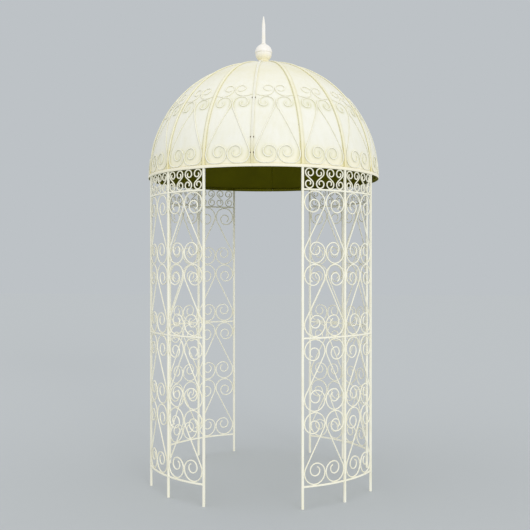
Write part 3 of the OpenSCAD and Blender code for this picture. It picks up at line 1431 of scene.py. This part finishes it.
def grid_faces(numbers: np.ndarray) -> np.ndarray:
    """Four-sided faces between the points of a grid, given by their numbers, counter-clockwise."""
    corners = (numbers[:-1, :-1], numbers[:-1, 1:], numbers[1:, 1:], numbers[1:, :-1])
    return np.stack(corners, axis=-1).reshape(-1, 4)


def grid_edge(numbers: np.ndarray) -> np.ndarray:
    """Numbers of the points round the edge of a grid, counter-clockwise."""
    return np.concatenate([numbers[0, :-1], numbers[:-1, -1], numbers[-1, :0:-1], numbers[:0:-1, 0]])


@dataclass(frozen=True)
class Band:
    """A level band round the dome: its share where it is strongest, its height and its reach."""

    share: float
    height: float
    reach: float

    def at(self, above_foot: np.ndarray) -> np.ndarray:
        """The band's share at heights above the dome's foot."""
        return self.share * fading(above_foot - self.height, self.reach)


@dataclass
class DomeQuarter(QuarterPart):
    """A quarter of the dome: pressed sheet, angle iron hoop, ribs, seam bars and laid-on scrolls.

    A pair of yellow shares or reaches is the one high up and the one at the foot. The strips are the
    thin old paint and dust beside ribs and scrolls, with painted shade there too.
    """

    sheet_r: float = 893.0
    sheet_t: float = 3.0
    hole_r: float = 36.0
    grid_deg: float = 0.75
    dent: float = 0.8
    dent_mm: float = 95.0
    rim_r: float = 900.0
    rim_z: float = 2332.0
    rim_leg: float = 4.0
    rim_inner: float = 878.0
    rim_corner: float = 0.9
    rim_steps: int = 61
    rib_w: float = 20.0
    rib_corner: float = 1.5
    rib_end_r: float = 52.8
    rib_steps: int = 60
    seam_t: float = 8.0
    seam_corner: float = 1.0
    bolt_rises: tuple[float, ...] = (4.8, 11.8, 32.0)
    bolt_head: tuple[float, float] = (4.6, 4.0)
    bolt_shank_r: float = 2.0
    bolt_spare: float = 11.0
    relief_bar: Section = Section(8.0, 5.0, 1.5)
    thin_end: float = 0.62
    thin_reach: float = 45.0
    big_clear: tuple[float, float] = (3.0, 3.5)
    big_top: float = 512.0
    small_clear: float = 1.0
    small_widest: float = 30.0
    small_top: float = 629.0
    foot_band: Band = Band(1.0, 0.0, 100.0)
    rib_yellow: float = 0.95
    seam_yellow: tuple[float, float] = (0.35, 0.75)
    yellow_reach: tuple[float, float] = (8.0, 36.0)
    crown_yellow: float = 0.35
    crown_rises: tuple[float, float] = (42.0, 55.0)
    # Bands round the scroll curls where dust and painted shade darken the sheet.
    dust_bands: tuple[Band, ...] = (Band(0.6, 75.0, 55.0), Band(0.8, 450.0, 50.0))
    dust_reach: float = 14.0
    seam_band: Band = Band(1.0, 0.0, 150.0)
    strip_share: float = 0.87
    strip_bands: tuple[Band, ...] = (Band(0.13, 75.0, 70.0), Band(0.13, 440.0, 60.0))
    strip_t: float = 0.24
    strip_stand: float = 0.03
    strip_corner: float = 0.08
    scroll_strip: float = 2.4
    rib_strip: float = 8.0
    rib_strip_shift: float = -2.5

    @property
    def span(self) -> tuple[float, float]:
        """Polar angles of the quarter's edges, clear of the next quarters."""
        half_gap = math.degrees(math.asin(self.seat / 2 / self.sheet_r))
        return self.angle(-2) + half_gap, self.angle(2) - half_gap

    @property
    def bar_middle(self) -> float:
        """Radius of the middle line of the ribs."""
        return (self.sheet_r + self.seat + self.rim_r) / 2

    def on_dome(self, radius: Numbers, angle: Numbers, rise: Numbers) -> np.ndarray:
        """Point, or points, at a distance from the dome's middle in the given directions."""
        return np.asarray(radius)[..., None] * dome_out(angle, rise) + [0, 0, DOME_FOOT]

    def outer_skin(self, columns: np.ndarray, rises: np.ndarray) -> np.ndarray:
        """Draws the sheet's outer skin, a little dented everywhere but along its edges.

        Args:
            columns: polar angles of its columns.
            rises: height angles of its rows, one to a row.

        Returns:
            Its grid of points.
        """
        even = self.on_dome(self.sheet_r, columns, rises)
        dents = np.zeros(even.shape[:2])
        # Noise runs from about -1 to 1, and a dent from 0 to 1, always inwards.
        dents[1:-1, 1:-1] = [
            [0.5 + 0.5 * noise.noise(Vector(spot / self.dent_mm)) for spot in row[1:-1]]
            for row in even[1:-1]
        ]
        return self.on_dome(self.sheet_r - self.dent * dents, columns, rises)

    def sheet(self) -> Piece:
        """Makes the two skins of one pressed sheet, closed at its edges.

        Returns:
            The sheet, marked where it is stained and where dust and painted shade darken it.
        """
        columns = np.linspace(*self.span, round(4 * self.bay_deg / self.grid_deg) + 1)
        inner_r = self.sheet_r - self.sheet_t
        tops = [math.degrees(math.acos(self.hole_r / radius)) for radius in (self.sheet_r, inner_r)]
        rows = round(tops[0] / self.grid_deg) + 1
        outer_rises, inner_rises = (np.linspace(0, top, rows)[:, None] for top in tops)
        skins = np.array([
            self.outer_skin(columns, outer_rises), self.on_dome(inner_r, columns, inner_rises),
        ])
        outer, inner = np.arange(skins.size // 3).reshape(skins.shape[:3])
        out, back = grid_edge(outer), grid_edge(inner)
        faces = np.concatenate([
            grid_faces(outer), grid_faces(inner)[:, ::-1],
            np.stack([np.roll(out, -1), out, back, np.roll(back, -1)], axis=-1),
        ])
        finishes = self.tools.finishes
        piece = smooth_piece(
            self.node("dome_skin"), skins.reshape(-1, 3), faces.tolist(), finishes.sheet,
            finishes.inside_painted_shade,
        )
        number, skin = np.arange(len(faces)), len(grid_faces(outer))
        # The inner skin and the closed edges wear the dark olive painted shade.
        piece.data.polygons.foreach_set("material_index", (number >= skin).astype(np.int32))
        piece.data.polygons.foreach_set("use_smooth", number < 2 * skin)
        rise, turn = (
            side.ravel() for side in np.broadcast_arrays(outer_rises, columns - self.span[0])
        )
        mark_points(piece, "yellowing", self.yellowing(rise, turn))
        # Dust and painted shade round the scroll curls.
        mark_points(piece, "dust", self.scroll_dust_and_shade(rise, turn))
        return piece

    def yellowing(self, rise: np.ndarray, turn: np.ndarray) -> np.ndarray:
        """Works out how yellow the sheet is beside the ribs and towards the crown.

        Args:
            rise: the points' height angles.
            turn: their polar angles from the quarter's edge.

        Returns:
            A share for each point.
        """
        gore = self.bay_deg
        off = (turn + gore / 2) % gore - gore / 2
        across = self.sheet_r * np.cos(np.radians(rise)) * np.radians(off)
        beside_rib = np.maximum(0, np.abs(across) - self.rib_w / 2)
        foot = self.foot_band.at(self.sheet_r * np.radians(rise))
        at_seam = np.minimum(turn, 4 * gore - turn) < gore / 2
        seam_yellow, reach = (
            high + (low - high) * foot for high, low in (self.seam_yellow, self.yellow_reach)
        )
        by_ribs = np.where(at_seam, seam_yellow, self.rib_yellow) * fading(beside_rib, reach)
        start, full = self.crown_rises
        by_crown = self.crown_yellow * np.clip((rise - start) / (full - start), 0, 1)
        return np.minimum(1, by_ribs + by_crown)

    def scroll_dust_and_shade(self, rise: np.ndarray, turn: np.ndarray) -> np.ndarray:
        """Works out how much dust and painted shade darken the sheet round the ends of the big
        scrolls.

        Args:
            rise: the points' height angles.
            turn: their polar angles from the quarter's edge.

        Returns:
            A share for each point.
        """
        middle = turn % self.bay_deg - self.bay_deg / 2
        above_foot = self.sheet_r * np.radians(rise)
        across = self.sheet_r * np.cos(np.radians(rise)) * np.radians(middle)
        flat = np.column_stack([-np.abs(across), above_foot])
        lines = np.concatenate(self.laid_scrolls())
        nearest = np.concatenate([
            np.linalg.norm(part[:, None] - lines[None], axis=2).min(1)
            for part in np.array_split(flat, DISTANCE_PARTS)
        ])
        beside_scroll = np.maximum(0, nearest - self.relief_bar.width / 2)
        at_ends = sum(band.at(above_foot) for band in self.dust_bands)
        return np.minimum(1, at_ends * fading(beside_scroll, self.dust_reach))

    def hoop(self) -> Piece:
        """Makes the angle iron hoop at the dome's foot, with dark olive painted shade on its inner
        side.

        Returns:
            The quarter's stretch of the hoop.
        """
        top = DOME_FOOT - self.seat
        outer_leg, under_leg = self.rim_r - self.rim_leg, top - self.rim_leg
        profile = [
            (outer_leg, self.rim_z), (self.rim_r, self.rim_z), (self.rim_r, top),
            (self.rim_inner, top), (self.rim_inner, under_leg), (outer_leg, under_leg),
        ]
        start, end = self.span
        finishes = self.tools.finishes
        hoop = turned(
            self.node("angle_hoop"), profile, finishes.sheet, finishes.inside_painted_shade,
            start=start, sweep=end - start, steps=self.rim_steps,
        )
        return with_inside_painted_shade(rounded_corners(hoop, self.rim_corner), outer_leg)

    def meridian(self, angle: float, shift: float, radius: float) -> BarPath:
        """Bends a bar over the sheet, from the foot to its end under the crown plate.

        Args:
            angle: its polar angle.
            shift: how far it lies to the right, seen from outside.
            radius: radius of its middle line.

        Returns:
            Its path.
        """
        top = math.degrees(math.acos(self.rib_end_r / radius))
        rises = np.linspace(0, top, self.rib_steps)
        points = self.on_dome(radius, angle, rises) + polar(1, angle + 90) * shift
        return even_path(points, dome_out(angle, rises))

    def ribs(self) -> Piece:
        """Makes the ribs over the posts and a bar along each seam, stained by its bolts.

        Returns:
            The ribs and seam bars as one object.
        """
        bars, finishes = self.tools.bars, self.tools.finishes
        deep = self.rim_r - self.sheet_r - self.seat
        over_posts = [self.meridian(self.angle(k), 0, self.bar_middle) for k in (-1, 0, 1)]
        ribs = bars.sweep(
            self.node("dome_ribs"), over_posts, Section(self.rib_w, deep, self.rib_corner),
            finishes.ribs,
        )
        shift = (self.seam_t + self.seat) / 2
        at_seams = [
            self.meridian(self.angle(2 * side), -side * shift, self.bar_middle)
            for side in (-1, 1)
        ]
        seams = bars.sweep(
            "seam_bars", at_seams, Section(self.seam_t, deep, self.seam_corner), finishes.sheet
        )
        above_foot = np.array([point.co.z / MM for point in seams.data.vertices]) - DOME_FOOT
        mark_points(seams, "yellowing", self.seam_band.at(above_foot))
        return joined(ribs, seams)

    def laid_scrolls(self) -> list[np.ndarray]:
        """Draws the two scrolls of a half gore.

        Returns:
            Their flat middle lines, x from the gore's middle and y up from the dome's foot.
        """
        half_gore = self.sheet_r * math.radians(self.bay_deg / 2)
        half_bar = self.relief_bar.width / 2
        by_rib = self.rib_w / 2 + self.seat + half_bar
        by_middle = self.seat + half_bar
        beside, above_rim = self.big_clear
        big = np.concatenate([
            walk(BIG_HEADING + 180, BIG_LOW_BENDS)[::-1], [[0.0, 0.0]],
            walk(BIG_HEADING, BIG_TOP_BENDS),
        ])
        small = walk(SMALL_HEADING, SMALL_BENDS)
        small_foot = self.big_top + self.relief_bar.width + self.seat
        narrowed = half_gore * math.cos((small_foot + self.small_widest) / self.sheet_r)
        return [
            fitted(
                big, by_rib + beside - half_gore, -by_middle, half_bar + above_rim, self.big_top
            ),
            fitted(
                small, by_rib + self.small_clear - narrowed, -by_middle - self.small_clear,
                small_foot, self.small_top,
            ),
        ]

    def laid(self, flat: np.ndarray, angle: float, stand: float, depth: float) -> BarPath:
        """Lays a flat middle line on the dome.

        Args:
            flat: its points, sideways and up from the dome's foot.
            angle: polar angle of the gore's middle.
            stand: distance of the bar's inner face from the sheet.
            depth: the bar's depth where it isn't drawn out.

        Returns:
            Its path, drawn out to narrower ends.
        """
        rise = flat[:, 1] / self.sheet_r
        turn = flat[:, 0] / (self.sheet_r * np.cos(rise))
        steps = np.linalg.norm(np.diff(flat, axis=0), axis=1)
        done = np.concatenate([[0.0], np.cumsum(steps)])
        from_end = np.minimum(done, done[-1] - done)
        share = self.thin_end + (1 - self.thin_end) * np.minimum(1, from_end / self.thin_reach)
        radius = self.sheet_r + stand + depth / 2 * share
        place = angle + np.degrees(turn), np.degrees(rise)
        return BarPath(self.on_dome(radius, *place), dome_out(*place), share)

    def gore_paths(self, stand: float, depth: float) -> list[BarPath]:
        """Lays the scrolls of all four gores of the quarter.

        Args:
            stand: distance of the bars' inner faces from the sheet.
            depth: their depth where they aren't drawn out.

        Returns:
            Their paths.
        """
        return [
            self.laid(flat * [hand, 1], self.angle(k), stand, depth)
            for k in (-1.5, -0.5, 0.5, 1.5)
            for hand in (1, -1)
            for flat in self.laid_scrolls()
        ]

    def scrolls(self) -> Piece:
        """Makes the scroll bars laid on the dome.

        Returns:
            The scrolls of all four gores as one object.
        """
        return self.tools.bars.sweep(
            self.node("dome_scroll_bars"), self.gore_paths(self.seat, self.relief_bar.depth),
            self.relief_bar, self.tools.finishes.relief,
        )

    def corners(self) -> Piece:
        """Makes thin strips of old paint, dust and painted shade that show beside each bar on the
        dome.

        Returns:
            The strips as one object.
        """
        bars, finishes = self.tools.bars, self.tools.finishes
        paths = self.gore_paths(self.strip_stand, self.strip_t)
        for path in paths:
            at_ends = sum(band.at(path.points[:, 2] - DOME_FOOT) for band in self.strip_bands)
            path.share *= self.strip_share + at_ends
        beside_scrolls = Section(
            self.relief_bar.width + self.scroll_strip, self.strip_t, self.strip_corner
        )
        strips = bars.sweep(self.node("corner_dust_and_shade"), paths, beside_scrolls, finishes.yellowed)
        radius = self.sheet_r + self.strip_stand + self.strip_t / 2
        # The rib strips reach further on the left of each rib: painted shade there as well as dust.
        lines = [self.meridian(self.angle(k), self.rib_strip_shift, radius) for k in (-1, 0, 1)]
        beside_ribs = Section(self.rib_w + self.rib_strip, self.strip_t, self.strip_corner)
        return joined(strips, bars.sweep("rib_dust_and_shade", lines, beside_ribs, finishes.grime_and_shade))

    def bolts(self) -> Piece:
        """Makes the bolts that draw the two bars of the seam together.

        Returns:
            The bolts as one object.
        """
        angle = self.angle(-2)
        along = polar(1, angle + 90)
        places = [
            Place(self.on_dome(self.bar_middle + self.seat, angle, rise), along)
            for rise in self.bolt_rises
        ]
        grip = 2 * self.seam_t + self.seat
        head_r, head_t = self.bolt_head
        return self.tools.bolts.scatter(
            self.node("seam_bolts"), places, self.tools.finishes.bolts,
            Head_Radius=head_r * MM, Head_Height=head_t * MM, Shank_Radius=self.bolt_shank_r * MM,
            Shank_Length=(grip + self.bolt_spare) * MM, Grip=grip * MM,
        )

    def build(self) -> None:
        """Builds and dresses the whole quarter of the dome."""
        dress(self.sheet(), Slot.DOME_SHEET, self.node("sheet"))
        dress(self.hoop(), Slot.DOME_FRAME, self.node("rim"))
        dress(self.ribs(), Slot.DOME_FRAME, self.node("ribs"))
        dress(self.scrolls(), Slot.DOME_SCROLLWORK, self.node("dome_scrolls"))
        dress(self.corners(), Slot.DOME_SHEET)
        dress(self.bolts(), Slot.DOME_FRAME)


# Crown and finial


@dataclass
class Crown:
    """Crown plate, lidded ball on its neck, and spear shaped spike.

    Heights in the ball's sizes are above its foot, and arcs are first and last angle.
    """

    finishes: Finishes
    plate_r: float = 66.0
    plate_corner: float = 1.2
    neck_r: float = 39.0
    neck_top: float = 26.0
    bowl_r: float = 56.78
    bowl_middle: tuple[float, float] = (7.22, 73.98)
    bowl_arc: tuple[float, float] = (-54.0, 7.5)
    lip: tuple[float, float] = (63.6, 66.9)
    lip_z: float = 82.0
    lid_r: float = 68.0
    lid_z: float = 84.99
    lid_start: float = -1.8
    ball_step: float = 3.5
    collar_r: float = 20.0
    collar_t: float = 7.0
    collar_edge: float = 1.5
    spike_r: float = 15.0
    spike_weld: tuple[tuple[float, float], ...] = ((0.6, 0.6), (-0.1, 2.5))
    waist_r: float = 13.5
    waist_share: float = 0.7
    tip_r: float = 4.5
    tip_step: float = 15.0
    spike_steps: int = 48

    def heights(self, node: str) -> tuple[float, float]:
        """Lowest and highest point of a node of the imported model, in mm."""
        low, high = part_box(node)
        return low.z / MM, high.z / MM

    def plate(self) -> Piece:
        """Makes the round crown plate over the ends of the ribs, with dark olive painted shade
        below.

        Returns:
            The plate.
        """
        low, high = self.heights("crown_plate")
        profile = [(0, low), (self.plate_r, low), (self.plate_r, high), (0, high)]
        plate = turned("crown_disc", profile, self.finishes.ribs, self.finishes.inside_painted_shade)
        return with_inside_painted_shade(rounded_corners(plate, self.plate_corner), self.plate_r)

    def ball(self) -> Piece:
        """Makes the ball: neck, bowl, and an upper half that sits over it like a lid.

        Returns:
            The ball.
        """
        base, top = self.heights("finial_ball")
        bowl = arc(self.bowl_middle, self.bowl_r, *self.bowl_arc, self.ball_step)
        collar_angle = math.degrees(math.acos(self.collar_r / self.lid_r))
        lid = arc((0.0, self.lid_z), self.lid_r, self.lid_start, collar_angle, self.ball_step)
        profile = [
            (0, 0), (self.neck_r, 0), (self.neck_r, self.neck_top), *bowl,
            *((radius, self.lip_z) for radius in self.lip), *lid[:-1],
            (self.collar_r, top - base), (0, top - base),
        ]
        return turned("lidded_ball", [(r, base + z) for r, z in profile], self.finishes.finial)

    def spike(self) -> Piece:
        """Makes the spike, with a collar at its foot and a rounded tip.

        Returns:
            The spike.
        """
        base, top = self.heights("finial_spike")
        long, edge = top - base, self.collar_edge
        tip = arc((0.0, long - self.tip_r), self.tip_r, 0, 90, self.tip_step)
        profile = [
            (0, 0), (self.collar_r - edge, 0), (self.collar_r, edge),
            (self.collar_r, self.collar_t - edge), (self.collar_r - edge, self.collar_t),
            *((self.spike_r + out, self.collar_t + up) for out, up in self.spike_weld),
            (self.waist_r, self.waist_share * long), *tip[:-1], (0, long),
        ]
        return turned(
            "spear_spike", [(r, base + z) for r, z in profile], self.finishes.finial,
            steps=self.spike_steps,
        )

    def build(self) -> None:
        """Builds and dresses the crown."""
        dress(self.plate(), Slot.DOME_FRAME, "crown_plate")
        dress(self.ball(), Slot.FINIAL, "finial_ball")
        dress(self.spike(), Slot.FINIAL, "finial_spike")


# Studio


@dataclass(frozen=True)
class Lamp:
    """A broad, even lamp far away: where it shines from, and how broad it looks in degrees."""

    name: str
    strength: float
    source: tuple[float, float, float]
    breadth: float

    def hang(self) -> None:
        """Puts the lamp into the scene."""
        data = bpy.data.lights.new(self.name, "SUN")
        data.energy = self.strength
        data.angle = math.radians(self.breadth)
        facing = Vector(self.source).to_track_quat("Z", "Y")
        in_scene(self.name, data).rotation_euler = facing.to_euler()


@dataclass
class Studio:
    """Camera of the photograph, soft lamps, pale floor and pale background."""

    eye: tuple[float, float, float] = (0.5516, -6.1802, 1.655)
    lens: float = 53.40
    sensor: float = 36.0
    shift: tuple[float, float] = (0.00264, 0.00277)
    far_end: float = 200.0
    floor_colour: str = "#c1c6c9"
    floor_half: float = 40000.0
    back_colour: str = "#bdc2c6"
    world_strength: float = 0.86
    lamps: tuple[Lamp, ...] = (
        Lamp("key_lamp", 0.92, (0.45, -0.83, 0.2), 20.0),
        Lamp("fill_lamp", 0.24, (-0.9, -0.3, 0.6), 60.0),
    )

    def camera(self) -> None:
        """Sets up a level camera that looks at the middle axis."""
        data = bpy.data.cameras.new("camera")
        data.lens = self.lens
        data.sensor_width = self.sensor
        data.shift_x, data.shift_y = self.shift
        data.clip_end = self.far_end
        camera = in_scene("camera", data)
        camera.location = self.eye
        look = Vector((-self.eye[0], -self.eye[1], 0.0))
        camera.rotation_euler = look.to_track_quat("-Z", "Y").to_euler()
        bpy.context.scene.camera = camera

    def background(self) -> None:
        """Lights the scene evenly from all round, and shows a pale background."""
        world = bpy.data.worlds.new("studio")
        bpy.context.scene.world = world
        world.use_nodes = True
        tree = world.node_tree
        tree.nodes.clear()
        rays = add_node(tree, "ShaderNodeLightPath")
        shown = rays.outputs["Is Camera Ray"]
        for kind in ("Is Glossy Ray", "Is Transmission Ray"):
            shown = add_node(
                tree, "ShaderNodeMath", {0: shown, 1: rays.outputs[kind]}, operation="MAXIMUM"
            ).outputs[0]
        light, pale = (
            add_node(tree, "ShaderNodeBackground", {"Color": linear(colour), "Strength": strength})
            for colour, strength in (("#ffffff", self.world_strength), (self.back_colour, 1.0))
        )
        either = add_node(
            tree, "ShaderNodeMixShader", {0: shown, 1: light.outputs[0], 2: pale.outputs[0]}
        )
        add_node(tree, "ShaderNodeOutputWorld", {"Surface": either.outputs[0]})

    def floor(self) -> None:
        """Lays a plain pale floor, matt so that it looks as bright from every side."""
        matt, tree = new_material("matt_floor")
        paint = add_node(tree, "ShaderNodeBsdfDiffuse", {"Color": linear(self.floor_colour)})
        add_node(tree, "ShaderNodeOutputMaterial", {"Surface": paint.outputs[0]})
        corners = np.array([(-1, -1, 0), (1, -1, 0), (1, 1, 0), (-1, 1, 0)]) * self.floor_half
        smooth_piece("studio_floor", corners, [(0, 1, 2, 3)], matt)

    def build(self) -> None:
        """Sets up camera, lamps, background and floor."""
        self.camera()
        self.background()
        for lamp in self.lamps:
            lamp.hang()
        self.floor()
        bpy.context.scene.view_settings.view_transform = "Standard"


def main() -> None:
    """Builds the whole scene around the frame."""
    logging.basicConfig(level=logging.INFO, format="%(message)s")
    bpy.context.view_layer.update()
    Studio().build()
    tools = Tools(mix_finishes(), BarTree(), WeldTree(), BoltTree())
    for quarter in Quarter:
        Pier(quarter, tools).build()
        DomeQuarter(quarter, tools).build()
    Crown(tools.finishes).build()


if __name__ == "__main__":
    main()
